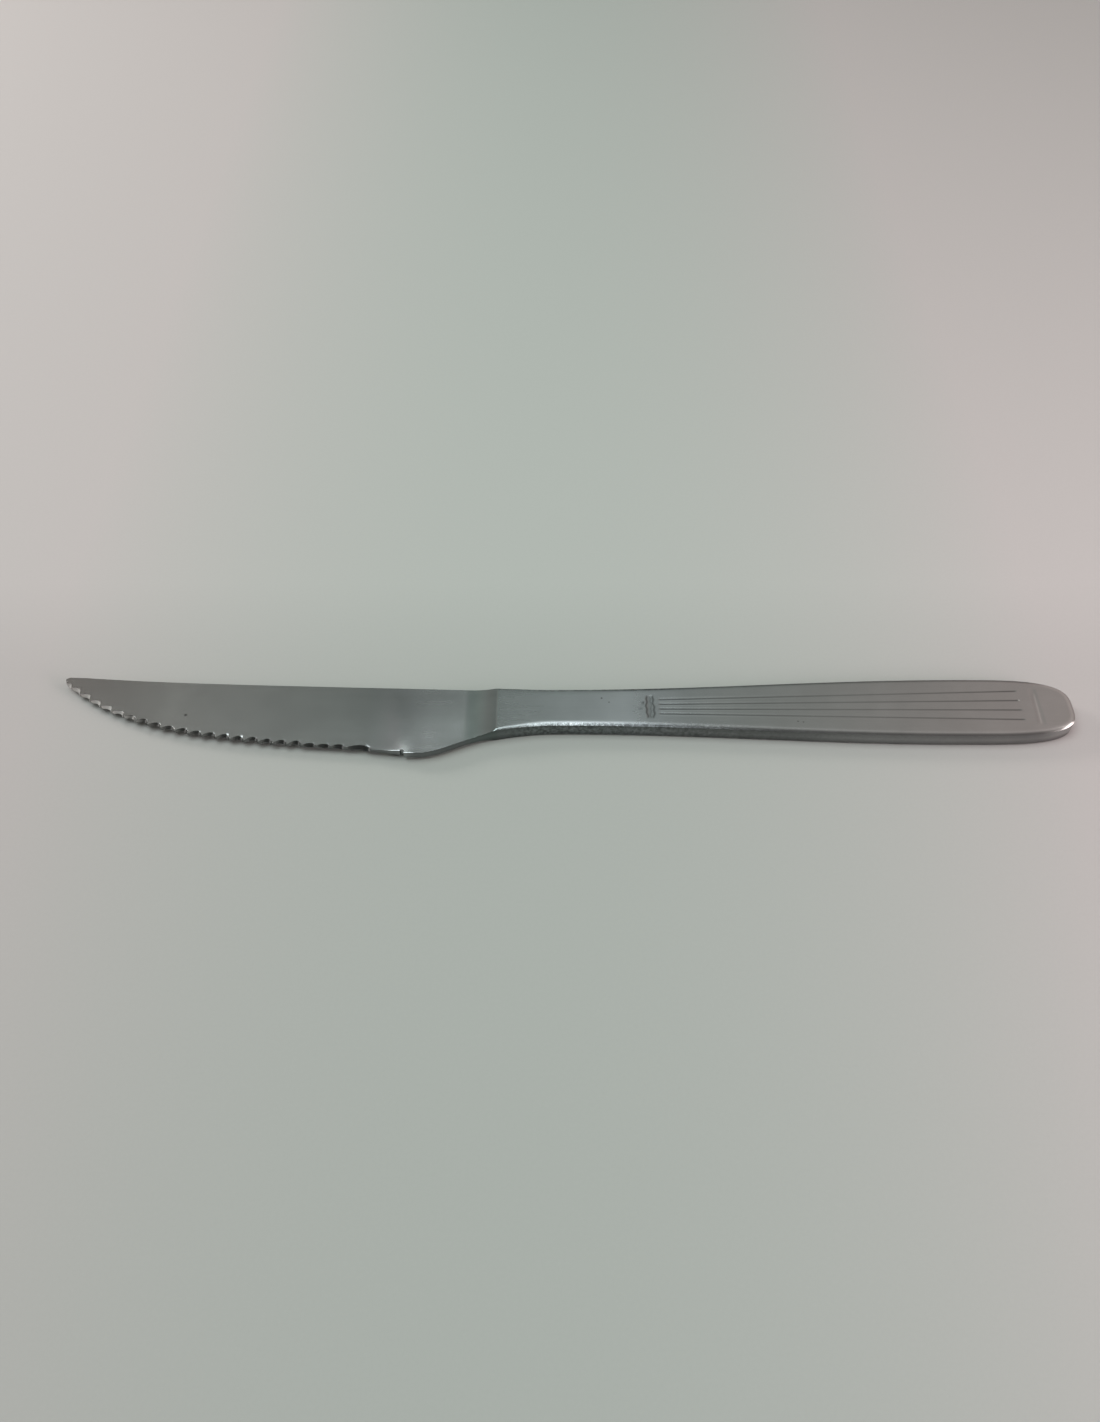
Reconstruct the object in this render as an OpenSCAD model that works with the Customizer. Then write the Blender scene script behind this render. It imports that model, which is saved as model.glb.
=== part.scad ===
// One-piece steel steak knife, lying on its side with the cutting edge toward -Y.
// X runs from the tip to the butt and Z points up from the table. The origin is the
// middle of the handle's flat underside.

/* [Handle] */
// Length of the handle, from the bolster crease to the butt
handle_len = 118.5; // [95:0.5:140]
// Thickness of the handle, from face to face
handle_thick = 3.4; // [2.8:0.1:5]
// Width of the neck, the narrowest stretch of the handle
neck_w = 9.6; // [8:0.1:12]
// Distance from the crease to the narrowest place of the neck
neck_at = 13; // [9:0.5:20]
// Width of the handle at its widest
butt_w = 15.1; // [13:0.1:18]
// Distance from the widest place to the end of the butt
butt_reach = 22.5; // [16:0.5:30]
// How much the neck widens toward the crease on the side of the spine
shoulder_flare = 0.25; // [0:0.05:1]
// How much the neck widens toward the crease on the side of the edge
throat_flare = 1.35; // [0.6:0.05:2]
// Radius of the pressed edges of the handle
edge_round = 0.5; // [0.3:0.05:0.8]

/* [Blade] */
// Length of the blade, from the bolster crease to the tip
blade_len = 91.5; // [75:0.5:110]
// Thickness of the blade at the spine
blade_thick = 1.6; // [1.2:0.1:2.2]
// Thickness of the ground edge at the heel, before the teeth are cut
edge_thick = 0.8; // [0.5:0.05:1.1]
// How much thinner each face is at the tip than at the heel
tip_taper = 0.3; // [0.1:0.05:0.4]
// Rise of the spine from the crease to the tip
spine_rise = 4.15; // [1:0.1:7]
// Radius of the rounded tip
tip_round = 0.95; // [0.7:0.05:1.5]
// Angle at which the edge runs up into the tip
tip_angle = 42; // [30:1:55]
// Length of the ramp from the thick handle down to the thin blade
ramp_len = 5.4; // [3.5:0.1:8]
// Flat strip between the joint with the handle and the top of the ramp
crease_land = 0.2; // [0.1:0.05:0.5]
// Distance from the crease to where the flat grind starts to run out
grind_back = 24.5; // [18:0.5:32]
// Radius with which the flat grind runs out toward the handle
grind_wheel = 50; // [25:1:80]
// Depth of the heel below the axis of the handle
heel_drop = 11.35; // [9.5:0.05:13]
// Distance from the crease to the back of the heel, where the throat begins
heel_back = 16.5; // [14:0.5:20]
// Length of the flat bottom of the heel
heel_len = 2.2; // [1.2:0.1:3.6]

/* [Edge] */
// How far the ground edge lies above the bottom of the heel
edge_step = 0.8; // [0.4:0.05:1.2]
// Radius of the nick where the edge grind stops at the heel
nick_round = 0.4; // [0.2:0.05:0.6]
// Length of the plain edge between the nick and the first tooth
plain_len = 6.3; // [3:0.1:10]
// Length of the first, long gullet
long_gullet = 5; // [3.5:0.1:6]
// Distance from one tooth to the next
tooth_pitch = 2.975; // [2.4:0.025:4]
// Width of the flat crest of a tooth
tooth_crest = 0.3; // [0.2:0.05:0.8]
// Depth of a gullet in the upper face
tooth_depth = 0.95; // [0.5:0.05:1.1]
// Number of shallow gullets beside the long one
shallow_count = 3; // [0:1:6]
// Depth of a shallow gullet in the upper face
shallow_depth = 0.6; // [0.3:0.05:0.9]
// Angle of the grinding wheel from the upright, toward the blade
gullet_tilt = 32; // [20:1:45]
// Angle by which the wheel leans toward the handle
gullet_lean = 12; // [0:1:20]

/* [Pattern of the handle] */
// Number of long grooves on each face
groove_count = 4; // [1:1:5]
// Width of a groove
groove_w = 0.7; // [0.4:0.05:0.9]
// Depth of a groove
groove_depth = 0.16; // [0.1:0.01:0.3]
// Distance from the crease to the start of the grooves
groove_start = 32.8; // [25:0.1:45]
// Distance from the end of the grooves to the end of the butt
groove_end = 10.5; // [8:0.1:16]
// Distance between two grooves at the start
groove_gap_neck = 1.25; // [1.1:0.05:1.6]
// Distance between two grooves at the end
groove_gap_butt = 2.55; // [2:0.05:2.7]
// How far the end of the fan lies off the axis, toward the side of the spine
fan_shift = 0.4; // [0:0.05:0.6]
// Width of a cross flute
flute_w = 1.9; // [1:0.1:2.6]
// Depth of a cross flute
flute_depth = 0.14; // [0.05:0.01:0.25]
// Distance from the cross flute at the neck to the grooves
flute_gap_neck = 1.5; // [1.4:0.1:4]
// Distance from the cross flute at the butt to the grooves
flute_gap_butt = 3; // [1.8:0.1:4]
// How far a cross flute reaches past the outer grooves
flute_over = 1.4; // [0.3:0.1:1.6]

/* [Hidden] */

// Fineness of the round shapes, and how far a cut reaches past what it cuts
$fn = 48;
overrun = 1;
round_steps = 4;
neck_steps = 6;
taper_steps = 16;
butt_steps = 10;
tip_steps = 5;
belly_steps = 40;
throat_steps = 10;
ramp_steps = 16;
gullet_steps = 8;

// The butt is a superellipse with these two powers, along and across the handle
butt_power_along = 3.4;
butt_power_across = 3.5;

// The spine and the edge run almost straight and then sweep up to the tip. These are
// the part of the rise that is straight, and the power of the sweep.
spine_straight_share = 0.7;
spine_power = 5;
belly_straight_share = 0.41;
belly_power = 5.3;

// A gullet is a sine arch. The first power moves its deepest place toward the handle, and
// the second one makes its top broad and its sides steep.
gullet_skew = 1.35;
gullet_power = 0.5;

// Places along the throat curve where its two handles lie
throat_handle_shares = [0.67, 0.48];

middle_z = handle_thick / 2;
taper_len = handle_len - butt_reach - neck_at;
crease_top = neck_w / 2 + shoulder_flare;
crease_bottom = neck_w / 2 + throat_flare;
throat_slope = 2 * throat_flare / neck_at;

// How far a step square to the throat reaches when it is measured along the crease
throat_mitre = norm([1, throat_slope]);

edge_start = [-heel_back - heel_len - nick_round, edge_step - heel_drop];
tip_centre = [tip_round - blade_len, crease_top + spine_rise - tip_round];
edge_end = tip_centre - tip_round * [sin(tip_angle), cos(tip_angle)];

// The wheel that thins the blade leaves a ramp of this radius
thinning = (handle_thick - blade_thick) / 2;
ramp_radius = (ramp_len * ramp_len + thinning * thinning) / (2 * thinning);

// The flat grind that thins the blade toward its edge and its tip
grind_width = crease_top - edge_start.y;
grind_len = blade_len - grind_back;
grind_tilt = atan((blade_thick - edge_thick) / 2 / grind_width);
grind_taper = atan(tip_taper / grind_len);
spine_tilt = atan(spine_rise / blade_len);

groove_radius = (groove_w * groove_w / 4 + groove_depth * groove_depth) / (2 * groove_depth);
flute_radius = (flute_w * flute_w / 4 + flute_depth * flute_depth) / (2 * flute_depth);

function ease(t) = (1 - cos(180 * t)) / 2;
function mix(a, b, t) = a + (b - a) * t;
function swept(t, straight, power) = straight * t + (1 - straight) * pow(t, power);
function bezier(p, t) = len(p) == 1 ? p[0]
    : bezier([for (i = [0 : len(p) - 2]) mix(p[i], p[i + 1], t)], t);
function backward(chain) = [for (i = [len(chain) - 1 : -1 : 0]) chain[i]];
function mirrored(chain) = [for (p = chain) [p.x, -p.y]];

// One side of the handle from the crease to the butt. Its flare is how much wider than
// the neck it starts.
function handle_side(flare) = concat(
    [for (i = [0 : neck_steps - 1]) let (t = i / neck_steps)
        [neck_at * t, neck_w / 2 + flare * pow(1 - t, 2)]],
    [for (i = [0 : taper_steps - 1]) let (t = i / taper_steps)
        [neck_at + taper_len * t, mix(neck_w, butt_w, ease(t)) / 2]],
    [for (i = [0 : butt_steps - 1]) let (a = 90 * i / butt_steps)
        [handle_len - butt_reach * (1 - pow(sin(a), 2 / butt_power_along)),
         butt_w / 2 * pow(cos(a), 2 / butt_power_across)]]
);
handle_outline = concat(
    handle_side(shoulder_flare),
    [[handle_len, 0]],
    backward(mirrored(handle_side(throat_flare)))
);

// The line of the tooth crests, from the nick at the heel to the tip
function belly(t) = [
    mix(edge_start.x, edge_end.x, t),
    mix(edge_start.y, edge_end.y, swept(t, belly_straight_share, belly_power))
];
function spine_over(x) = [
    x,
    crease_top + spine_rise * swept(x / tip_centre.x, spine_straight_share, spine_power)
];
throat = [
    [0, -crease_bottom],
    [-heel_back * throat_handle_shares[1],
     -crease_bottom - throat_slope * heel_back * throat_handle_shares[1]],
    [-heel_back * throat_handle_shares[0], -heel_drop],
    [-heel_back, -heel_drop]
];
blade_side = concat(
    [for (i = [0 : throat_steps]) bezier(throat, i / throat_steps)],
    [[edge_start.x + nick_round, -heel_drop]],
    [for (i = [0 : belly_steps - 1]) belly(i / belly_steps)]
);
blade_outline = concat(
    blade_side,
    [for (i = [0 : tip_steps]) let (a = mix(270 - tip_angle, 90, i / tip_steps))
        tip_centre + tip_round * [cos(a), sin(a)]],
    [for (p = backward(blade_side)) spine_over(p.x)]
);

// Length along the tooth line, paired with the place on it
belly_run = [
    for (i = 0, run = 0; i <= belly_steps;
         run = run + norm(belly((i + 1) / belly_steps) - belly(i / belly_steps)), i = i + 1)
    [run, i / belly_steps]
];
belly_len = belly_run[belly_steps][0];
tooth_start = plain_len + long_gullet + tooth_crest;
tooth_count = floor((belly_len - tooth_start - tooth_crest) / tooth_pitch);

// A flat pressed blank with rounded edges. Its outline is a clockwise chain that starts
// and ends on the plane of the crease, where it stays square. The edges are round only
// on the points that lie past round_from. Its two faces are laid in tiles, each between
// two rungs that join a point near the start of the chain to its mate near the end.
module pressed_blank(outline, rungs, round_from) {
    count = len(outline);
    levels = concat(
        [for (i = [0 : round_steps]) let (a = 90 * i / round_steps)
            [edge_round * (1 - sin(a)), edge_round * (1 - cos(a))]],
        [for (i = [round_steps : -1 : 0]) let (a = 90 * i / round_steps)
            [edge_round * (1 - sin(a)), handle_thick - edge_round * (1 - cos(a))]]
    );
    inward = [
        for (i = [0 : count - 1])
            outline[i].x < round_from ? [0, 0]
            : i == 0 || i == count - 1 ? [0, outline[i].y < 0 ? throat_mitre : -1]
            : let (d = outline[i + 1] - outline[i - 1]) [d.y, -d.x] / norm(d)
    ];
    points = [
        for (level = levels, i = [0 : count - 1])
            let (p = outline[i] + inward[i] * level[0]) [p.x, p.y, level[1]]
    ];
    sides = [
        for (j = [0 : len(levels) - 2], i = [0 : count - 1])
            let (next = (i + 1) % count, low = j * count, high = low + count)
            each [[low + next, high + next, high + i], [low + next, high + i, low + i]]
    ];
    top = (len(levels) - 1) * count;
    tiles = concat(
        [for (i = [0 : rungs - 2]) [i, i + 1, count - 2 - i, count - 1 - i]],
        [[for (i = [rungs - 1 : count - rungs]) i]]
    );
    caps = [for (tile = tiles) each [[for (i = tile) top + i], backward(tile)]];
    polyhedron(points = points, faces = concat(sides, caps), convexity = 6);
}

// Lays what it holds on the upper face and, turned over, on the lower one
module on_both_faces() {
    translate([0, 0, middle_z]) children();
    translate([0, 0, middle_z]) mirror([0, 0, 1]) children();
}

// The metal that a wheel takes off a face of the blade. It cuts flat from here to the
// tip and runs out toward the handle with its own radius.
module wheel_cut(radius) {
    reach = blade_len + overrun;
    arc = acos(1 - middle_z / radius);
    run_out = [
        for (i = [0 : ramp_steps]) let (a = arc * i / ramp_steps)
            radius * [sin(a), 1 - cos(a)]
    ];
    translate([0, reach, 0])
        rotate([90, 0, 0])
        linear_extrude(2 * reach)
        polygon(concat([[-reach, middle_z], [-reach, 0]], run_out));
}

// One gullet of the edge, centred at a length along the tooth line. It is a lopsided arch,
// cut along a slope that goes up toward the blade and leans toward the handle.
module gullet(at, width, depth) {
    t = lookup(at, belly_run);
    step = 1 / belly_steps;
    d = belly(t + step) - belly(t - step);
    reach = width + handle_thick;
    arch = [
        for (i = [0 : gullet_steps]) let (u = ease(i / gullet_steps))
            [width * (1 / 2 - u),
             -depth * cos(gullet_tilt) * pow(sin(180 * pow(u, gullet_skew)), gullet_power)]
    ];
    translate([belly(t).x, belly(t).y, middle_z + edge_thick / 2])
        rotate(atan2(d.y, d.x))
        rotate([gullet_tilt, -gullet_lean, 0])
        linear_extrude(2 * reach, center = true)
        polygon(concat(arch, [[-width / 2, reach], [width / 2, reach]]));
}

// A long groove of the pattern, counted from the side of the edge
module groove(index) {
    place = index - (groove_count - 1) / 2;
    start = [groove_start, place * groove_gap_neck];
    end = [handle_len - groove_end, fan_shift + place * groove_gap_butt];
    d = end - start;
    translate([start.x, start.y, middle_z + groove_radius - groove_depth])
        rotate(atan2(d.y, d.x))
        rotate([0, 90, 0])
        cylinder(r = groove_radius, h = norm(d));
}

// A shallow flute across the handle
module flute(x, shift, half_len) {
    translate([x, shift, middle_z + flute_radius - flute_depth])
        rotate([90, 0, 0])
        cylinder(r = flute_radius, h = 2 * half_len, center = true);
}

// Stamped blade with its ramp, flat-ground faces, heel and serrated edge
module blade() {
    color("#8f9494")
    translate([-handle_len / 2, 0, 0])
    difference() {
        pressed_blank(blade_outline, len(blade_side), -2 * ramp_len);
        on_both_faces() {
            translate([-crease_land - ramp_len, 0, blade_thick / 2]) wheel_cut(ramp_radius);
            translate([-grind_back, crease_top, blade_thick / 2])
                rotate([grind_tilt, -grind_taper, -spine_tilt])
                wheel_cut(grind_wheel);
        }
        translate([edge_start.x, edge_start.y, -overrun])
            cylinder(r = nick_round, h = handle_thick + 2 * overrun);
        gullet(plain_len + long_gullet / 2, long_gullet, tooth_depth);
        for (i = [0 : tooth_count - 1])
            gullet(tooth_start + tooth_pitch * (i + 1 / 2), tooth_pitch - tooth_crest,
                   i < shallow_count ? shallow_depth : tooth_depth);
    }
}

// Pressed handle with its fan of grooves closed by two cross flutes on each face
module handle() {
    neck_reach = groove_gap_neck * (groove_count - 1) / 2 + flute_over;
    butt_reach_across = groove_gap_butt * (groove_count - 1) / 2 + flute_over;
    color("#9aa0a2")
    translate([-handle_len / 2, 0, 0])
    difference() {
        pressed_blank(handle_outline, neck_steps + taper_steps + butt_steps, -overrun);
        on_both_faces() {
            for (i = [0 : groove_count - 1]) groove(i);
            flute(groove_start - flute_gap_neck, 0, neck_reach);
            flute(handle_len - groove_end + flute_gap_butt, fan_shift, butt_reach_across);
        }
    }
}

blade();
handle();
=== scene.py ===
import bisect
import math

import bmesh
import bpy
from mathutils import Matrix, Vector


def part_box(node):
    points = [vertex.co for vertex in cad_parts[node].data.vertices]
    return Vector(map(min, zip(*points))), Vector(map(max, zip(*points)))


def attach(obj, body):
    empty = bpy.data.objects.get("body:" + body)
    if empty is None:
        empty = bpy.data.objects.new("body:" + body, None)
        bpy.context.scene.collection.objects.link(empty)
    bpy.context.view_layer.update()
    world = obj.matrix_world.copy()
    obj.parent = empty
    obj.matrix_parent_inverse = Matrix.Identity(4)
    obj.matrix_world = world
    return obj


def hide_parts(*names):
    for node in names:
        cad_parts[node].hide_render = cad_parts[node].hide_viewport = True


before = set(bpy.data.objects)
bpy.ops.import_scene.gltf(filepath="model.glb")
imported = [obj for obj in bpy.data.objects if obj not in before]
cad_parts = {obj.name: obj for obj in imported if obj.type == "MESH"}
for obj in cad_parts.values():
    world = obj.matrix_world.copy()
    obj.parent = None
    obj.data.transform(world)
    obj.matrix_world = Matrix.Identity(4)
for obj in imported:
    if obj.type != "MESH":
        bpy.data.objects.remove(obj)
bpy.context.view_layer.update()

# The blade. It is the front of one long blank of stainless steel with pressed, rounded edges.
# A wheel thins it, which leaves a ramp at the crease, then grinds it flat toward the edge and
# the tip. The gullets are ground one by one from the upper face.

# Sizes are in millimetres: along the knife from the crease between blade and handle, and
# across it from the axis of the handle
MM = 0.001
handle_low, handle_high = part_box("handle")
blade_low, blade_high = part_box("blade")
crease_x = handle_low.x
handle_length = (handle_high.x - crease_x) / MM
blade_length = (crease_x - blade_low.x) / MM
thickness = handle_high.z / MM
middle = thickness / 2

# The crease, where the blade meets the neck of the handle
neck_half = 4.8
neck_length = 13
shoulder_flare = 0.25
throat_flare = 1.35
throat_slope = 2 * throat_flare / neck_length
crease_top = neck_half + shoulder_flare
crease_bottom = neck_half + throat_flare

# The rolled edge of the blank, which is a share as wide and as deep on the blade
roll_width = 1.2
roll_drop = 0.3
roll_power = 2.2
roll_room = 3 * roll_width
blade_roll_share = 0.55
inset_shares = (0, 0.03, 0.09, 0.2, 0.34, 0.5, 0.72, 1)
insets = [roll_width * share for share in inset_shares]

# The outline: throat, heel, nick, the line of the tooth crests, tip and spine. Stops are
# places with the value that holds there.
throat_shares = (0.48, 0.67)
heel_drop = -blade_low.y / MM
heel_back = 16.5
heel_end = 18.7
nick = 0.4
nick_wall = 0.03
plain_lift = 0.5
edge_start = Vector((-heel_end - nick, plain_lift - heel_drop))
tip_round = 0.95
tip_angle = math.radians(42)
tip_centre = Vector((tip_round - blade_length, blade_high.y / MM - tip_round))
edge_end = tip_centre - tip_round * Vector((math.sin(tip_angle), math.cos(tip_angle)))
belly_straight_share = 0.41
belly_power = 5.3
belly_sag = [(-83, 0), (-63, 0.4), (-44, 0.4), (-32, 0)]
spine_rise = blade_high.y / MM - crease_top
spine_straight_share = 0.7
spine_power = 5


def mix(a, b, t):
    return a + (b - a) * t


def ease(t):
    t = min(max(t, 0), 1)
    return t * t * (3 - 2 * t)


def eased(x, stops):
    """Value at a place, with a soft passage from each stop to the next."""
    start, value = stops[0]
    for end, after in stops[1:]:
        value = mix(value, after, ease((x - start) / (end - start)))
        start = end
    return value


def swept(t, straight_share, power):
    """How far a line has risen at t. A share of the rise is even, the rest comes late."""
    return straight_share * t + (1 - straight_share) * t ** power


def belly(t):
    """Place on the line of the tooth crests, from the nick to the tip."""
    rise = swept(t, belly_straight_share, belly_power)
    x, y = mix(edge_start.x, edge_end.x, t), mix(edge_start.y, edge_end.y, rise)
    return Vector((x, y - eased(x, belly_sag)))


def spine_over(x):
    t = min(max(x / tip_centre.x, 0), 1)
    return Vector((x, crease_top + spine_rise * swept(t, spine_straight_share, spine_power)))


def throat(t):
    """Place on the curve from the crease round to the back of the heel."""
    first, second = [heel_back * share for share in throat_shares]
    bends = [
        Vector((0, -crease_bottom)),
        Vector((-first, -crease_bottom - throat_slope * first)),
        Vector((-second, -heel_drop)),
        Vector((-heel_back, -heel_drop)),
    ]
    while len(bends) > 1:
        bends = [mix(a, b, t) for a, b in zip(bends, bends[1:])]
    return bends[0]


# The faces: the wheel's ramp from the full thickness at the crease, and the flat grind
thin = 1.6
edge_thin = 0.8
tip_taper = 0.3
crease_land = 0.2
ramp_length = 5.4
ramp_depth = (thickness - thin) / 2
ramp_wheel = (ramp_length ** 2 + ramp_depth ** 2) / (2 * ramp_depth)
grind_from = -24.5
grind_wheel = 50
grind_blend = 0.1
grind_slope = (thin - edge_thin) / 2 / (crease_top - edge_start.y)
taper_slope = tip_taper / (blade_length + grind_from)
spine_tilt = math.atan(spine_rise / blade_length)


def run_out(x, radius):
    """Height that a wheel leaves past the place where it starts to lift."""
    x = min(max(x, 0), radius)
    return radius - math.sqrt(radius * radius - x * x)


def blade_face(x, y):
    """Height of the upper face of the blade above the middle of the blank."""
    ramp_rise = run_out(x + crease_land + ramp_length, ramp_wheel)
    dx, dy = x - grind_from, y - crease_top
    along = dx * math.cos(spine_tilt) - dy * math.sin(spine_tilt)
    across = dx * math.sin(spine_tilt) + dy * math.cos(spine_tilt)
    ground = grind_slope * across + run_out(along, grind_wheel) + taper_slope * min(along, 0)
    lower, higher = sorted((ramp_rise, ground))
    met = lower - max(grind_blend - higher + lower, 0) ** 2 / (4 * grind_blend)
    return min(middle, thin / 2 + met)


def rolled(inset, share):
    """How far the rolled edge of the blank has dropped at an inset from the outline. The
    share is how wide the roll is there."""
    return share * roll_drop * max(1 - inset / (share * roll_width), 0) ** roll_power


def rounding(radius, inset):
    """How far a ground edge with a small radius has dropped at an inset from the outline."""
    return radius - math.sqrt(radius ** 2 - (radius - inset) ** 2) if inset < radius else 0


# The gullets, lopsided arches that the wheel cuts along a slope which leans toward the handle.
# The long one beside the plain edge, the first three and the notch at the tip have depths of
# their own, and the eighth and ninth have a raised burr.
gullet_skew = 1.35
gullet_power = 0.5
gullet_slope = 0.62
gullet_lean = 0.212
tooth_pitch = 2.975
tooth_crest = 0.3
tooth_depth = 0.95
depth_sway_share = 0.08
depth_sway_turn = 2.4
first_depths = [0.62, 0.5, 0.55]
plain_edge = 6.3
long_gullet = 5
long_depth_share = 0.9
tip_notch = 0.55
tip_crest = 0.2
burr = 0.04
first_burrs = 7 * [0.02] + 2 * [0.13]
burr_reach_share = 0.26

# How round the ground edges are, from the keen ones to the blunt tip
edge_break = 0.035
heel_break = 0.1
nick_break = 0.18
tip_break = 0.3
heel_breaks = [(-heel_back - 1, heel_break), (-heel_back, edge_break)]
plain_breaks = [(0, nick_break), (3, edge_break)]
keen_from = 3.9
blunt_stations = 30

# How finely the skin is divided round the outline and across the faces, closer at the edge
throat_step = 0.008
heel_step = 0.3
plain_step = 0.25
keen_step = 0.4
tip_step = 0.12
nick_facets = 8
long_gullet_facets = 26
gullet_facets = 16
notch_facets = 10
blade_columns = 22
column_power = 1.25


def blade_section(near, near_in, gullet, near_break, far, far_in, far_break):
    """Loop round the blade. It starts on the near edge and goes over the upper face, down the
    far wall and back along the lower face. A gullet is how far in the wheel has cut the upper
    face, and near_break is then the burr on its rim. Without a gullet it is how round the
    near edge is."""
    room = min(1, (far - near).length / roll_room)
    steps = [blade_roll_share * inset * room for inset in insets]

    def upper(p, inset, radius):
        lowered = blade_face(p.x, p.y) - rounding(radius, inset)
        return min(middle - rolled(inset, blade_roll_share), lowered)

    top, low = [], []
    if gullet is None:
        for inset in steps:
            p = near + near_in * inset
            height = upper(p, inset, near_break)
            top.append((p.x, p.y, middle + height))
            low.append((p.x, p.y, middle - height))
    else:
        crown = near + near_in * gullet
        height = blade_face(crown.x, crown.y)
        fall = min(2 * height, gullet / gullet_slope)
        forward = Vector((-near_in.y, near_in.x))
        for i in range(len(steps)):
            part = 1 - i / (len(steps) - 1)
            p = near + near_in * (gullet - part * fall * gullet_slope)
            p = p + forward * (gullet_lean * fall * part)
            top.append((p.x, p.y, middle + height - max(fall * part, near_break)))
        foot = Vector(top[0][:2])
        for inset in steps:
            p = foot + near_in * inset
            low.append((p.x, p.y, middle - blade_face(p.x, p.y)))
    far_rim = [(far + far_in * inset, inset) for inset in steps]
    columns = [(i / (blade_columns + 1)) ** column_power for i in range(1, blade_columns + 1)]
    over = [mix(Vector(top[-1][:2]), far_rim[-1][0], part) for part in columns]
    under = [mix(Vector(low[-1][:2]), far_rim[-1][0], part) for part in columns]
    loop = top + [(p.x, p.y, middle + blade_face(p.x, p.y)) for p in over]
    loop += [(p.x, p.y, middle + upper(p, i, far_break)) for p, i in reversed(far_rim)]
    loop += [(p.x, p.y, middle - upper(p, i, far_break)) for p, i in far_rim]
    loop += [(p.x, p.y, middle - blade_face(p.x, p.y)) for p in reversed(under)]
    return loop + list(reversed(low))


belly_samples = 600
belly_runs = [0]
for i in range(belly_samples):
    step = belly((i + 1) / belly_samples) - belly(i / belly_samples)
    belly_runs.append(belly_runs[-1] + step.length)


def edge_at(run):
    """Place on the line of the tooth crests at a length along it."""
    i = min(bisect.bisect_right(belly_runs, run), belly_samples) - 1
    part = (run - belly_runs[i]) / (belly_runs[i + 1] - belly_runs[i])
    return belly((i + part) / belly_samples)


def gullet_runs(start, width, depth, facets, rim_burr):
    """Places across a gullet, its depth there and the burr that the wheel has pushed down on
    its rim. It is deepest near its handle side, and that side has the burr."""
    places = []
    for i in range(facets + 1):
        part = (1 - math.cos(math.pi * i / facets)) / 2
        arch = math.sin(math.pi * (1 - part) ** gullet_skew)
        pushed = rim_burr * math.sin(math.pi * min(part / burr_reach_share, 1))
        places.append((start + width * part, depth * max(arch, 0) ** gullet_power, pushed))
    return places


def spread(start, end, step):
    """Numbers from start up to, but without, end, about a step apart."""
    count = max(1, round(abs(end - start) / step))
    return [mix(start, end, i / count) for i in range(count)]


def inward(before, after):
    """Unit step to the inside of an outline that runs clockwise."""
    run = after - before
    return Vector((run.y, -run.x)).normalized()


# Round the lower edge: throat, heel, nick, plain edge, gullets, and the near half of the tip.
# At the crease the step to the inside is square to the knife, as the handle's is.
square_in = Vector((0, 1))
crease_in = square_in * math.hypot(1, throat_slope)
edge = []
for t in spread(0, 1, throat_step):
    edge.append((throat(t), inward(throat(t), throat(t + throat_step / 8)), None, edge_break))
edge[0] = (throat(0), crease_in, None, edge_break)
nick_corner = nick_wall - heel_end
for x in spread(-heel_back, nick_corner, heel_step) + [nick_corner]:
    edge.append((Vector((x, -heel_drop)), square_in, None, eased(x, heel_breaks)))
for i in range(nick_facets + 1):
    turn = math.pi * i / nick_facets
    place = edge_start + nick * Vector((math.cos(turn), math.sin(turn)))
    edge.append((place, square_in, None, edge_break))

# Lengths along the line of the tooth crests, with the depth of the gullet there
plain_runs = spread(nick + nick_wall, keen_from, plain_step)
runs = [(run, None, eased(run, plain_breaks)) for run in plain_runs]
runs += [(run, 0, 0) for run in spread(keen_from, plain_edge, keen_step)]
long_depth = long_depth_share * tooth_depth
runs += gullet_runs(plain_edge, long_gullet, long_depth, long_gullet_facets, burr)
tooth_start = plain_edge + long_gullet + tooth_crest
tooth_count = math.floor((belly_runs[-1] - tooth_start - tooth_crest) / tooth_pitch)
gullet_width = tooth_pitch - tooth_crest
depths = list(first_depths)
for tooth in range(len(depths), tooth_count):
    depths.append(tooth_depth * (1 + depth_sway_share * math.sin(depth_sway_turn * tooth)))
burrs = first_burrs + (tooth_count - len(first_burrs)) * [burr]
for tooth, (depth, rim_burr) in enumerate(zip(depths, burrs)):
    start = tooth_start + tooth_pitch * tooth + tooth_crest / 2
    runs += gullet_runs(start, gullet_width, depth, gullet_facets, rim_burr)
last_crest = runs[-1][0]
notch_width = belly_runs[-1] - last_crest - tip_crest
runs += gullet_runs(last_crest + tooth_crest / 2, notch_width, tip_notch, notch_facets, 0)
sight_back, sight_ahead = 0.05, 0.02
for run, depth, near_break in runs:
    edge_in = inward(edge_at(run - sight_back), edge_at(run + sight_ahead))
    edge.append((edge_at(run), edge_in, depth, near_break))
tip_split = math.radians(159)
for turn in spread(1.5 * math.pi - tip_angle, tip_split, tip_step) + [tip_split]:
    out = Vector((math.cos(turn), math.sin(turn)))
    edge.append((tip_centre + tip_round * out, -out, None, tip_break))


# Points of a skin that are this near in metres are joined, and sharper turns stay crisp
touching = 1e-7
crisp = math.radians(32)


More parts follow.
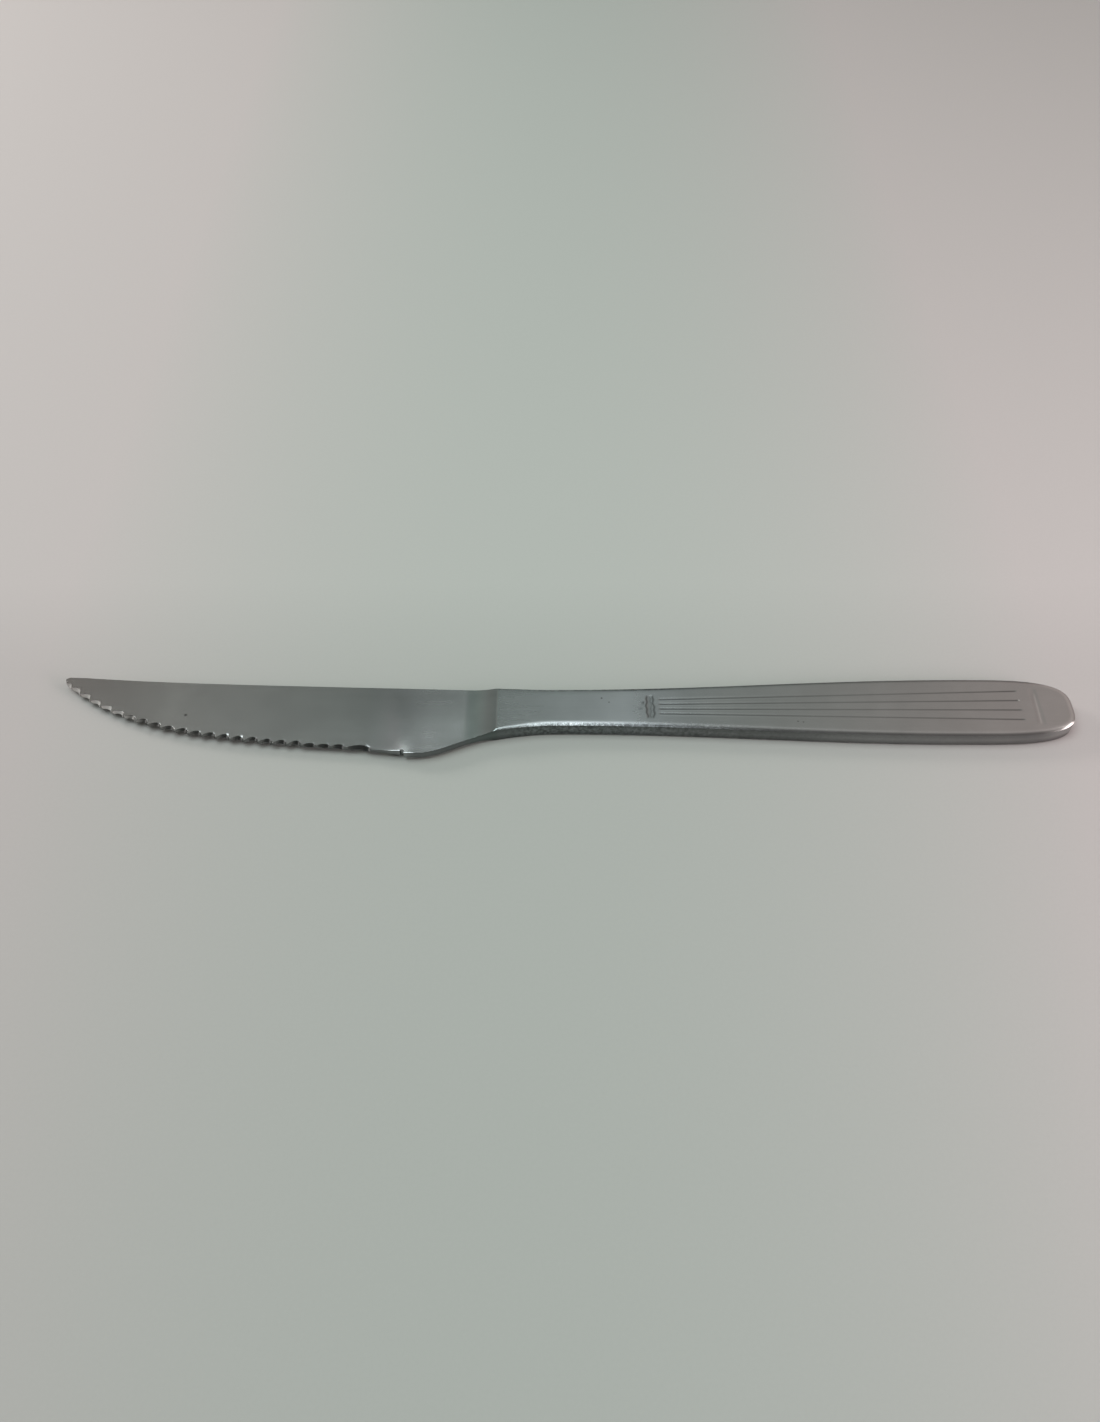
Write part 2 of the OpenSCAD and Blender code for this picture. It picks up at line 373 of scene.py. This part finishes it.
def pressed_steel(name, sections):
    """A closed skin through cross sections, each of them a loop of as many points. The first
    section is capped, and the last one closes on itself."""
    mesh = bmesh.new()
    rings = [
        [mesh.verts.new((crease_x + x * MM, y * MM, z * MM)) for x, y, z in section]
        for section in sections
    ]
    count = len(rings[0])
    for near, far in zip(rings, rings[1:]):
        for i in range(count):
            j = (i + 1) % count
            mesh.faces.new((near[i], near[j], far[j], far[i]))
    mesh.faces.new(rings[0])
    bmesh.ops.remove_doubles(mesh, verts=mesh.verts, dist=touching)
    bmesh.ops.recalc_face_normals(mesh, faces=mesh.faces)
    data = bpy.data.meshes.new(name)
    mesh.to_mesh(data)
    mesh.free()
    data.shade_smooth()
    data.set_sharp_from_angle(angle=crisp)
    piece = bpy.data.objects.new(name, data)
    bpy.context.scene.collection.objects.link(piece)
    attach(piece, "root")
    return piece


nose = next(i for i, station in enumerate(edge) if station[0].x < tip_centre.x)
spine_breaks = [(nose - blunt_stations, edge_break), (nose, tip_break)]
spine_sight = 0.1
sections = []
for i, station in enumerate(edge):
    if i < nose:
        x = station[0].x
        far = spine_over(x)
        far_in = -inward(spine_over(x + spine_sight), spine_over(x - spine_sight))
        far_break = eased(i, spine_breaks)
    else:
        turn = mix(math.pi / 2, tip_split, (i - nose) / (len(edge) - 1 - nose))
        out = Vector((math.cos(turn), math.sin(turn)))
        far, far_in = tip_centre + tip_round * out, -out
    if i == 0:
        far_in = -square_in
    sections.append(blade_section(*station, far, far_in, far_break))
blade = pressed_steel("ground_blade", sections)
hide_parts("blade")


def shade(tree, kind, inputs=None, **settings):
    """A shader node with its inputs set to values, or joined to what other nodes give."""
    made = tree.nodes.new("ShaderNode" + kind)
    for name, value in settings.items():
        setattr(made, name, value)
    for name, value in (inputs or {}).items():
        if isinstance(value, bpy.types.Node):
            value = value.outputs[0]
        if isinstance(value, bpy.types.NodeSocket):
            tree.links.new(value, made.inputs[name])
        else:
            made.inputs[name].default_value = value
    return made


def span(tree, value, start, end, low=0, high=1):
    """A shader node that turns what lies from start to end into what lies from low to high."""
    limits = {"From Min": start, "From Max": end, "To Min": low, "To Max": high}
    return shade(tree, "MapRange", {"Value": value, **limits})


def times(tree, value, *factors):
    """The last of the shader nodes that multiply a value by each of the factors."""
    for factor in factors:
        value = shade(tree, "Math", {0: value, 1: factor}, operation="MULTIPLY")
    return value


def ramp(tree, value, stops):
    """A shader node that passes through colours, each given as a place from 0 to 1 and four
    parts."""
    made = shade(tree, "ValToRGB", {"Fac": value})
    elements = made.color_ramp.elements
    elements.remove(elements[1])
    for i, (at, *colour) in enumerate(stops):
        element = elements.new(at) if i else elements[0]
        element.position = at
        element.color = colour
    return made


# The finish along the knife, at distances from the crease: how rough the faces and the edges
# are, how bright the faces are painted, which stands in for what they reflect there (painted
# reflection), and how grainy the tumbled edges are
finish = [
    (-91.5, 0.22, 0.3, 0.76, 0), (-78, 0.22, 0.3, 0.72, 0), (-67.5, 0.21, 0.28, 0.87, 0),
    (-57, 0.21, 0.27, 0.81, 0), (-36, 0.2, 0.25, 0.8, 0), (-27, 0.2, 0.25, 0.755, 0),
    (-20, 0.26, 0.25, 0.7, 0), (-14, 0.27, 0.25, 0.83, 0), (-6.8, 0.26, 0.2, 0.94, 0),
    (-6, 0.24, 0.2, 0.77, 0), (-0.3, 0.24, 0.2, 0.77, 0), (0.3, 0.27, 0.2, 0.74, 0),
    (8, 0.28, 0.22, 0.84, 1), (21, 0.29, 0.22, 0.99, 1), (26, 0.29, 0.22, 1.11, 1),
    (31, 0.26, 0.2, 1.04, 0.9), (40, 0.23, 0.18, 0.97, 0.6), (60, 0.23, 0.17, 0.95, 0.2),
    (100, 0.23, 0.17, 0.97, 0.05), (118.5, 0.24, 0.16, 0.98, 0),
]

# The colour of the steel in the same way: a painted colour cast of what it reflects, warmer
# at the tip and greener at the ramp
tints = [
    (-91.5, 0.585, 0.56, 0.54), (-70, 0.585, 0.59, 0.575), (-16, 0.575, 0.59, 0.6),
    (-7, 0.58, 0.605, 0.61), (-5.5, 0.55, 0.615, 0.6), (-0.3, 0.54, 0.615, 0.6),
    (0.3, 0.61, 0.65, 0.65), (28, 0.63, 0.66, 0.68), (45, 0.64, 0.65, 0.65),
    (118.5, 0.65, 0.64, 0.635),
]


def steel(name, streak, spots, edge_share, dark_from, dark_share):
    """Brushed stainless steel. Its faces carry fine lengthwise lines, and their brightness and
    colour along the knife are painted to stand in for what they reflect. Its rounded edges are
    tumbled to a bright grain, while the walls below them are darker, as sheared steel and with
    painted shade that is deepest at their rims. Spots are places and radii of small dark stains.
    The mesh says where painted light brightens or darkens it, and where painted shade darkens
    the grooves and flutes pressed into it, and a scratch."""
    material = bpy.data.materials.new(name)
    material.use_nodes = True
    tree = material.node_tree
    surface = tree.nodes["Principled BSDF"]
    place = shade(tree, "TexCoord").outputs["Object"]
    painted_light = shade(tree, "Attribute", attribute_name="painted_light").outputs["Fac"]
    pressed = shade(tree, "Attribute", attribute_name="pressed").outputs["Fac"]

    # Face is 1 where the steel is level, and wall is 1 where it is upright
    normal = shade(tree, "NewGeometry").outputs["Normal"]
    upright = shade(tree, "SeparateXYZ", {"Vector": normal}).outputs["Z"]
    level = shade(tree, "Math", {0: upright}, operation="ABSOLUTE")
    face = span(tree, level, 0.93, 0.995)
    wall = span(tree, level, dark_from, dark_from - 0.3)

    parts = shade(tree, "SeparateXYZ", {"Vector": place}).outputs
    reach = span(tree, parts["X"], blade_low.x, handle_high.x)
    whole = blade_length + handle_length
    polish = ramp(tree, reach, [((x + blade_length) / whole, *values) for x, *values in finish])
    tint = ramp(tree, reach, [((x + blade_length) / whole, *colour, 1) for x, *colour in tints])
    grain_share = polish.outputs["Alpha"]
    face_rough, edge_rough, painted_face_light = shade(tree, "SeparateColor", {"Color": polish}).outputs

    # The tone: clouds, dimmer edges and a painted reflection on the faces along the knife, the
    # painted light that the mesh carries, then brushed lines, flecks on the edges, walls darkened
    # with painted shade that is deepest at their rims, stains, and the painted shade in what is
    # pressed
    clouds = shade(tree, "TexNoise", {"Vector": place, "Scale": 160, "Detail": 3})
    clouded = span(tree, clouds, 0, 1, 0.9, 1.1)
    tone = times(tree, clouded, span(tree, face, 0, 1, edge_share, painted_face_light))
    # Painted highlight and painted shade from the mesh scale the tone
    tone = shade(tree, "Math", {0: tone, 1: painted_light, 2: tone}, operation="MULTIPLY_ADD")
    lines = shade(tree, "Mapping", {"Vector": place, "Scale": (70, 6500, 700)})
    brushing = shade(tree, "TexNoise", {"Vector": lines, "Scale": 1, "Detail": 5, "Roughness": 0.6})
    lined = span(tree, brushing, 0, 1, 1 - streak, 1 + streak)
    flecks = shade(tree, "TexNoise", {"Vector": place, "Scale": 1400, "Detail": 3, "Roughness": 0.7})
    flecks = span(tree, flecks, 0.36, 0.64, -0.5, 0.5)
    on_edges = span(tree, face, 0, 1, grain_share, 0)
    flecked = shade(tree, "Math", {0: flecks, 1: on_edges, 2: 1}, operation="MULTIPLY_ADD")
    # Painted shade on the walls: darker at their top and bottom rims than at their middle
    off_middle = shade(tree, "Math", {0: parts["Z"], 1: middle * MM}, operation="SUBTRACT")
    off_middle = shade(tree, "Math", {0: off_middle}, operation="ABSOLUTE")
    painted_rim_shade = span(tree, off_middle, 0, middle * MM, 1.15 * dark_share, 0.7 * dark_share)
    sheared_and_shaded = span(tree, wall, 0, 1, 1, painted_rim_shade)
    stained = []
    for centre, radius in spots:
        away = shade(tree, "VectorMath", {0: place, 1: centre}, operation="DISTANCE")
        stained.append(span(tree, away.outputs["Value"], radius / 2, radius, 0.4, 1))
    # Painted shade in the grooves and flutes, and the scratch
    pressed_shade = span(tree, pressed, 0, 1, 1, 0.33)
    tone = times(tree, tone, lined, flecked, sheared_and_shaded, *stained, pressed_shade)
    colour = shade(tree, "VectorMath", {0: tint.outputs["Color"], "Scale": tone}, operation="SCALE")
    tree.links.new(colour.outputs[0], surface.inputs["Base Color"])
    surface.inputs["Metallic"].default_value = 1

    # The roughness: faces and edges, long bands of the brushing, and torn steel where the
    # painted light is strongest
    matt = span(tree, face, 0, 1, edge_rough, face_rough)
    long_lines = shade(tree, "Mapping", {"Vector": place, "Scale": (14, 1400, 150)})
    bands = shade(tree, "TexNoise", {"Vector": long_lines, "Scale": 1, "Detail": 3})
    rub = span(tree, bands, 0, 1, -0.02, 0.02)
    rough = shade(tree, "Math", {0: matt, 1: rub}, operation="ADD")
    torn = span(tree, painted_light, 1.3, 2.8, 0, 0.4)
    rough = shade(tree, "Math", {0: rough, 1: torn}, operation="ADD")
    tree.links.new(rough.outputs[0], surface.inputs["Roughness"])

    # The relief: brushed lines everywhere, and grain on the edges
    fine = shade(tree, "Bump", {"Height": brushing, "Strength": 0.35, "Distance": 0.00002})
    grain = shade(tree, "TexNoise", {"Vector": place, "Scale": 3000, "Detail": 3, "Roughness": 0.7})
    grainy = span(tree, grain_share, 0, 1, 0.05, 0.38)
    weight = span(tree, face, 0, 1, grainy, 0.03)
    tumbled = {"Height": grain, "Strength": weight, "Distance": 0.0001, "Normal": fine}
    tumbled = shade(tree, "Bump", tumbled)
    tree.links.new(tumbled.outputs[0], surface.inputs["Normal"])
    return material


def bell(away, reach):
    """1 at no distance, and softly down to nothing past the reach."""
    return math.exp(-((away / reach) ** 2))


# Patches of painted highlight and painted shade on the blade: place, reach along and across,
# gain. The gullets near the tip are torn, and carry a painted glare where the wheel has sunk
# into the face.
painted_blade_patches = [
    (-20, 3, 8, 5, -0.1), (-14, -7.5, 5, 4, 0.22), (-18.8, -9.8, 1.5, 1.9, 0.7),
    (-18.6, -10.7, 0.9, 0.9, 0.7), (-21.4, -11, 1.3, 0.7, 0.6), (-8, -4.5, 3, 3, 0.14),
    (-9, 4, 4, 3, -0.12), (-32, -6, 9, 4, 0.1), (-3, -5, 4, 3, -0.08),
]
tip_glare_gains = [(-80, 2.8), (-71, 0)]
tip_glare_depth = 0.15
underside = -0.6


def blade_painted_light(x, y, z, up):
    """How much a place of the blade is brightened by painted highlight and glare, less where painted
    shade darkens it. Up says how far its normal points up.
    """
    sunk = middle + blade_face(x, y) - z if up > underside else 0
    glare = eased(x, tip_glare_gains) * ease(sunk / tip_glare_depth)
    patches = [
        gain * bell(x - patch_x, reach_x) * bell(y - patch_y, reach_y)
        for patch_x, patch_y, reach_x, reach_y, gain in painted_blade_patches
    ]
    return glare + sum(patches)


def points(piece):
    """The places of a piece's points, each with how far its normal points up."""
    for vertex in piece.data.vertices:
        yield (vertex.co.x - crease_x) / MM, vertex.co.y / MM, vertex.co.z / MM, vertex.normal.z


def mark(piece, name, amounts):
    """Writes an amount on each point of a piece, for its material to read."""
    attribute = piece.data.attributes.new(name, "FLOAT", "POINT")
    attribute.data.foreach_set("value", amounts)


mark(blade, "painted_light", [blade_painted_light(x, y, z, up) for x, y, z, up in points(blade)])
spot_x, spot_y, spot_radius = -64.4, -1.2, 0.4
spot = Vector((spot_x, spot_y, middle + blade_face(spot_x, spot_y))) * MM + Vector((crease_x, 0, 0))
ground_steel = steel("ground_steel", streak=0.06, spots=[(spot, spot_radius * MM)],
                     edge_share=0.6, dark_from=0.9, dark_share=0.48)
blade.data.materials.append(ground_steel)

# The handle. It keeps the full thickness of the blank, and its edges are rounded in the press
# and tumbled. The same stroke presses a fan of four grooves into each face, closed at both
# ends by a shallow cross flute.
butt_half = 7.55
butt_reach = 22.5
butt_start = handle_length - butt_reach
butt_power = 3.4
near_power = 3.3
far_power = 3.5
full_roll_shares = [(0, blade_roll_share), (10, 1)]

# The fan of grooves, which opens toward the butt and drifts a little to the far side
groove_count = 4
fan_middle = (groove_count - 1) / 2
groove_start = 32.8
groove_stop = 10.5
groove_end = handle_length - groove_stop
groove_depth = 0.04
groove_dish = 0.012
groove_half = 0.15
groove_fade = 0.9
groove_faint_share = 0.45
fan_shift = 0.4
gap_neck = 1.25
gap_butt = 2.55
fan_room_share = 0.85

# The flutes, each with its place along the handle and half its length across it
flute_half = 0.95
flute_power = 1.4
flute_fade = 0.7
flute_over = 1.4
flute_depths = (0.07, 0.03)
neck_flute_gap = 1.5
butt_flute_gap = 3
flutes = [
    (groove_start - neck_flute_gap, fan_middle * gap_neck + flute_over),
    (groove_end + butt_flute_gap, fan_middle * gap_butt + flute_over),
]

# Columns of points across a groove, and the even ones between the grooves and the rims
lanes = [-0.5, -0.36, -0.26, -0.18, -0.09, 0, 0.09, 0.18, 0.26, 0.36, 0.5]
side_columns = 5


def taper(x, flare):
    """Half the width of the handle before its round end."""
    if x < neck_length:
        return neck_half + flare * (1 - x / neck_length) ** 2
    t = (x - neck_length) / (butt_start - neck_length)
    return mix(neck_half, butt_half, (1 - math.cos(math.pi * t)) / 2)


def groove(x, y):
    """How near a place is to the middle of a groove, in millimetres, and how strong it is."""
    share = (x - groove_start) / (groove_end - groove_start)
    gap = mix(gap_neck, gap_butt, share)
    y = y - fan_shift * share
    ends = ease((x - groove_start) / groove_fade) * ease((groove_end - x) / groove_fade)
    faint = 1 - groove_faint_share * math.sin(math.pi * min(max(share, 0), 1))
    return min(abs(y - (k - fan_middle) * gap) for k in range(groove_count)), ends * faint


def pressed_depth(x, y):
    """How deep the grooves and the flutes lie below the face."""
    away, strength = groove(x, y)
    sharp = groove_depth * bell(away, groove_half)
    dished = groove_dish * bell(away, 4 * groove_half)
    depth = strength * (sharp + dished)
    for (centre, half), deep in zip(flutes, flute_depths):
        part = 1 - ((x - centre) / flute_half) ** 2
        ends = ease((half - abs(y)) / flute_fade)
        depth = max(depth, deep * max(0, part) ** flute_power * ends)
    return depth


def handle_section(x, near, near_in, far, far_in):
    """Loop round the handle, in the same order as a loop round the blade."""
    wide = eased(x, full_roll_shares)
    near_rim = [(near + near_in * wide * inset, wide * inset) for inset in insets]
    far_rim = [(far + far_in * wide * inset, wide * inset) for inset in insets]
    low_x, low_y = near_rim[-1][0]
    high_x, high_y = far_rim[-1][0]
    share = min(max((x - groove_start) / (groove_end - groove_start), 0), 1)
    gap = mix(gap_neck, gap_butt, share)
    squeeze = min(1, fan_room_share * high_y / (fan_middle * gap + lanes[-1] + fan_shift))
    columns = []
    for k in range(groove_count):
        if k > 0:
            columns.append(squeeze * ((k - fan_middle - 0.5) * gap + fan_shift * share))
        columns += [squeeze * ((k - fan_middle) * gap + lane + fan_shift * share) for lane in lanes]
    inner, outer = columns[0], columns[-1]
    shares = [i / side_columns for i in range(1, side_columns)]
    columns = [mix(low_y, inner, part) for part in shares] + columns
    columns += [mix(outer, high_y, part) for part in shares]
    face = []
    for y in columns:
        part = (y - low_y) / (high_y - low_y) if high_y > low_y else 0
        across = mix(low_x, high_x, part)
        face.append((across, y, pressed_depth(across, y)))
    loop = [(p.x, p.y, thickness - rolled(inset, wide)) for p, inset in near_rim]
    loop += [(px, py, thickness - depth) for px, py, depth in face]
    loop += [(p.x, p.y, thickness - rolled(inset, wide)) for p, inset in reversed(far_rim)]
    loop += [(p.x, p.y, rolled(inset, wide)) for p, inset in far_rim]
    loop += [(px, py, depth) for px, py, depth in reversed(face)]
    loop += [(p.x, p.y, rolled(inset, wide)) for p, inset in reversed(near_rim)]
    return loop


def butt_turn(x):
    """Angle round the blunt end of the handle at a distance from the crease."""
    return math.asin(((x - butt_start) / butt_reach) ** (butt_power / 2))


# Along the handle: half its width to the near and to the far side, in fine steps where the
# flutes and the ends of the grooves are
fine_step = 0.11
neck_step = 0.7
fan_step = 0.9
butt_step = 0.025
flute_margin = 1.3
groove_margin = 1.1
fine_start, fine_end = flutes[0][0] - flute_margin, groove_start + groove_margin
stations = spread(0, fine_start, neck_step) + spread(fine_start, fine_end, fine_step)
stations += spread(fine_end, butt_start, fan_step)
flank = [(x, taper(x, throat_flare), taper(x, shoulder_flare)) for x in stations]
fine_start, fine_end = groove_end - groove_margin, flutes[1][0] + flute_margin
stations = spread(butt_start, fine_start, fan_step) + spread(fine_start, fine_end, fine_step)
turns = [butt_turn(x) for x in stations]
turns += spread(butt_turn(fine_end), math.pi / 2, butt_step) + [math.pi / 2]
for turn in turns:
    x = butt_start + butt_reach * math.sin(turn) ** (2 / butt_power)
    upright = max(math.cos(turn), 0)
    flank.append((x, butt_half * upright ** (2 / near_power), butt_half * upright ** (2 / far_power)))
flank[-1] = (handle_length, 0, 0)

sections = []
for i, (x, low, high) in enumerate(flank):
    x0, low0, high0 = flank[max(i - 1, 0)]
    x1, low1, high1 = flank[min(i + 1, len(flank) - 1)]
    near_in = -inward(Vector((x0, -low0)), Vector((x1, -low1)))
    far_in = inward(Vector((x0, high0)), Vector((x1, high1)))
    if i == 0:
        near_in, far_in = crease_in, -square_in
    if i == len(flank) - 1:
        near_in = far_in = Vector((-1, 0))
    sections.append(handle_section(x, Vector((x, -low)), near_in, Vector((x, high)), far_in))
handle = pressed_steel("pressed_handle", sections)
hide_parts("handle")

# Painted shade darkens the grooves, three wavy lines along the flute at the neck and, thinly,
# the flute between them; a short scratch beside it is darkened too
groove_shade_half = 0.17
line_half = 0.2
line_wave = 0.2
flute_lines = [(-0.65, 1), (0.15, 0.6), (0.75, 1)]
flute_shade = 0.22
flute_shade_half = 0.9
flute_shade_fade = 0.3
scratch_x, scratch_y = 29.75, 0.3
scratch_half = 1.3
scratch_fade = 0.5
scratch_slant = 0.28


def groove_shade_and_scratch(x, y):
    """How dark a place is painted, from 0 to 1: painted shade in the grooves and the flute, and the
    scratch.
    """
    away, strength = groove(x, y)
    darkening = strength * bell(away, groove_shade_half)
    centre, half = flutes[0]
    ends = ease((half - abs(y)) / flute_fade)
    for side, gain in flute_lines:
        wave = line_wave * math.sin(2.3 * y + 3 * side) * math.sin(1.1 * y + 1)
        darkening = max(darkening, gain * bell(x - centre - side - wave, line_half) * ends)
    thinly = ease((flute_shade_half - abs(x - centre)) / flute_shade_fade)
    darkening = max(darkening, flute_shade * thinly * ends)
    scratch = bell(x - scratch_x - scratch_slant * (y - scratch_y), line_half)
    return max(darkening, scratch * ease((scratch_half - abs(y - scratch_y)) / scratch_fade))


# Painted light along the handle, as stops: painted highlight and shade on the rolled edge,
# painted light on the walls, a painted sheen on the edge of the butt, and painted highlights on
# the ridges beside the grooves
edge_painted_light = [(13, 0.32), (30, -0.39), (32, -0.39), (46, -0.13)]
wall_painted_light = [(55, 0), (80, 0.44)]
butt_painted_sheen = [(handle_length - 9, 0), (handle_length - 3, 1.2)]
ridge_painted_highlight = [(40, 0.3), (70, 0)]
ridge_away = 0.36
ridge_half = 0.14

# A point is on a rolled edge where its normal points up more than this, and the painted light
# is whole where the normal leans over by at least so much
edge_up = 0.75
edge_lean = 0.05
butt_up = 0.4
butt_lean = 0.08

# A painted highlight line and a painted shade line along the flute at the butt, with side,
# reach and gain, and a painted glint
flute_rim_light = [(0.1, 0.2, 0.2), (-0.5, 0.35, -0.1)]
rim_slant = 0.05
rim_shift = 1
rim_fade = 0.9
glint_x, glint_y, glint_radius, glint_gain = 107.7, 1.7, 0.16, 1.5


def handle_painted_light(x, y, up):
    """How much a place of the handle is brightened by painted highlight, sheen and glint, less where
    painted shade darkens it. Up says how far its normal points up.
    """
    centre, half = flutes[1]
    fan_y = y - fan_shift
    across = x - centre - rim_slant * fan_y
    rim = sum(gain * bell(across - side, reach) for side, reach, gain in flute_rim_light)
    painted_gain = rim * ease((half - rim_shift - abs(fan_y + rim_shift)) / rim_fade)
    away, strength = groove(x, y)
    painted_gain += eased(x, ridge_painted_highlight) * strength * bell(away - ridge_away, ridge_half)
    painted_gain += glint_gain * bell(x - glint_x, glint_radius) * bell(y - glint_y, glint_radius)
    if up > butt_up:
        painted_gain += eased(x, butt_painted_sheen) * min((1 - up) / butt_lean, 1)
    if up > edge_up:
        painted_gain += eased(x, edge_painted_light) * min((1 - up) / edge_lean, 1)
    elif up > -edge_up:
        painted_gain += eased(x, wall_painted_light)
    return painted_gain


mark(handle, "pressed", [groove_shade_and_scratch(x, y) for x, y, z, up in points(handle)])
mark(handle, "painted_light", [handle_painted_light(x, y, up) for x, y, z, up in points(handle)])
spots = [(21.4, 2.3, 0.26), (22.9, 1.2, 0.2), (61.3, -3.9, 0.2), (62.4, -4.1, 0.18)]
handle_spots = [
    (Vector((crease_x + x * MM, y * MM, handle_high.z)), radius * MM) for x, y, radius in spots
]
brushed_steel = steel("brushed_steel", streak=0.05, spots=handle_spots,
                      edge_share=0.46, dark_from=0.5, dark_share=0.63)
handle.data.materials.append(brushed_steel)

# The table, a sheet of pale grey paper that the knife lies on. Light is painted on it: it is a
# little warmer to the left and right of the place that the camera looks at, and lighter toward
# the back.
viewer_x = -0.04854
sheet_half = 3
warm_square = 0.012
paper = bpy.data.meshes.new("paper")
corners = [(-1, -1), (1, -1), (1, 1), (-1, 1)]
paper.from_pydata([(x * sheet_half, y * sheet_half, 0) for x, y in corners], [], [(0, 1, 2, 3)])
floor = bpy.data.objects.new("paper", paper)
bpy.context.scene.collection.objects.link(floor)
matt_paper = bpy.data.materials.new("matt_paper")
matt_paper.use_nodes = True
tree = matt_paper.node_tree
surface = tree.nodes["Principled BSDF"]
place = shade(tree, "TexCoord").outputs["Object"]
parts = shade(tree, "SeparateXYZ", {"Vector": place}).outputs
# Painted light on the paper: warmer to the sides, and lighter toward the back
aside = shade(tree, "Math", {0: parts["X"], 1: viewer_x}, operation="SUBTRACT")
warmth = span(tree, times(tree, aside, aside), 0, warm_square)
fibre = shade(tree, "TexNoise", {"Vector": place, "Scale": 1500, "Detail": 4})
tone = times(tree, span(tree, fibre, 0, 1, 0.98, 1.02), span(tree, parts["Y"], 0.012, 0.04, 1, 1.11))
greys = {"Factor": warmth, "A": (0.42, 0.459, 0.421), "B": (0.505, 0.475, 0.456)}
hue = shade(tree, "Mix", greys, data_type="VECTOR").outputs["Result"]
tone = shade(tree, "VectorMath", {0: hue, "Scale": tone}, operation="SCALE")
tree.links.new(tone.outputs[0], surface.inputs["Base Color"])
surface.inputs["Roughness"].default_value = 0.95
surface.inputs["Specular IOR Level"].default_value = 0.2
floor.data.materials.append(matt_paper)

# The light of a studio: a dim surround that is warmer to the sides, in front of a pale
# backdrop, large soft boxes overhead, and small warm lamps low around the knife
surround = [
    (0, 0.14, 0.175, 0.165), (0.19, 0.235, 0.215, 0.2), (0.267, 0.265, 0.265, 0.25),
    (0.35, 0.215, 0.24, 0.215), (0.5, 0.22, 0.25, 0.235), (0.55, 0.22, 0.25, 0.25),
    (0.63, 0.22, 0.245, 0.225), (0.71, 0.245, 0.245, 0.23), (0.8, 0.37, 0.325, 0.31),
    (1, 0.4, 0.35, 0.33),
]
world = bpy.data.worlds.new("surround")
bpy.context.scene.world = world
world.use_nodes = True
tree = world.node_tree
toward = shade(tree, "TexCoord").outputs["Generated"]
parts = shade(tree, "SeparateXYZ", {"Vector": toward}).outputs
around = ramp(tree, span(tree, parts["X"], -0.6, 0.6), [(*stop, 1) for stop in surround])
dusk = span(tree, parts["Y"], -0.3, 0.45, 0.35, 1)
lit = tree.nodes["Background"]
tree.links.new(around.outputs["Color"], lit.inputs["Color"])
tree.links.new(dusk.outputs[0], lit.inputs["Strength"])
backdrop = shade(tree, "Background", {"Color": (0.42, 0.44, 0.42, 1)})
seen = shade(tree, "LightPath").outputs["Is Camera Ray"]
seen = shade(tree, "MixShader", {0: seen, 1: lit, 2: backdrop})
tree.links.new(seen.outputs[0], tree.nodes["World Output"].inputs["Surface"])


def soft_box(name, place, aim, size, power, colour):
    """A lamp with a lit rectangle, turned toward a place."""
    lamp = bpy.data.lights.new(name, "AREA")
    lamp.shape = "RECTANGLE"
    lamp.size, lamp.size_y = size
    lamp.energy = power
    lamp.color = colour
    box = bpy.data.objects.new(name, lamp)
    box.location = place
    box.rotation_euler = (Vector(aim) - Vector(place)).to_track_quat("-Z", "Y").to_euler()
    bpy.context.scene.collection.objects.link(box)


soft_box("overhead", place=(-0.485, 0, 1), aim=(-0.485, 0, 0), size=(0.91, 0.9),
         power=6.94, colour=(0.9, 0.98, 1))
soft_box("ceiling", place=(0.6, 0, 1), aim=(0.6, 0, 0), size=(1, 0.9),
         power=0.45, colour=(1, 0.96, 0.94))
soft_box("left_lamp", place=(-0.75, 0.5, 0.35), aim=(0, 0, 0), size=(0.2, 0.2),
         power=2.9, colour=(1, 0.92, 0.91))
soft_box("right_lamp", place=(0.72, 0.02, 0.44), aim=(0.06, 0, 0), size=(0.34, 0.44),
         power=1.4, colour=(1, 0.9, 0.88))
soft_box("front_lamp", place=(0.3, -0.2, 0.16), aim=(0.2, 0, 0), size=(0.16, 0.16),
         power=0.75, colour=(1, 0.85, 0.92))
soft_box("left_panel", place=(-0.76, -0.163, 0.157), aim=(-0.15, 0, 0), size=(0.34, 0.26),
         power=0.5, colour=(1, 0.97, 0.95))

# The camera, at the height and distance of the photograph. Its focal length is worked out in
# pixels of a frame that is so many pixels high.
viewer_back = 0.16345
viewer_height = 0.19678
looks_down = 50
sensor = 36
focal_pixels = 1229.28
frame_pixels = 1422
camera = bpy.data.cameras.new("camera")
camera.sensor_width = sensor
camera.lens = sensor * focal_pixels / frame_pixels
viewer = bpy.data.objects.new("camera", camera)
viewer.location = (viewer_x, -viewer_back, viewer_height)
viewer.rotation_euler = (math.radians(90 - looks_down), 0, 0)
bpy.context.scene.collection.objects.link(viewer)
bpy.context.scene.camera = viewer
bpy.context.scene.view_settings.view_transform = "Standard"
